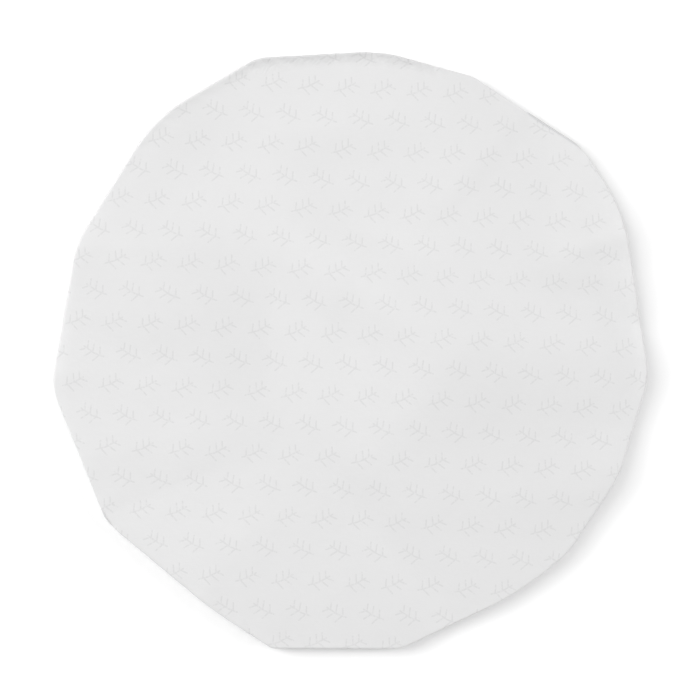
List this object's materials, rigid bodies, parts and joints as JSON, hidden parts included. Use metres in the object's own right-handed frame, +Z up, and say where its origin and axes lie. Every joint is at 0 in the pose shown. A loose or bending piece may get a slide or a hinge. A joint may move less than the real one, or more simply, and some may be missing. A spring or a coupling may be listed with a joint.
{
  "type": "shower cap",
  "caption": "Bouffant shower cap lying flat with its crown up: a soft many-sided crown folded under and gathered onto an elastic hem round the open head hollow.",
  "frame": {"origin": "the middle of the head opening, on the surface that the cap lies on", "axes": "+Z up, out of the crown's upper face; +Y towards the top of the reference view and +X towards its right"},
  "size_m": [0.2985, 0.3005, 0.0217],
  "materials": {
    "crown_cloth": "pale grey-white coated satin cloth with a small tonal woven figure",
    "casing_cloth": "the same pale cloth, ruched over its elastic"
  },
  "bodies": {
    "root": {"crown": "crown_cloth", "elastic_hem": "casing_cloth"}
  },
  "joints": []
}
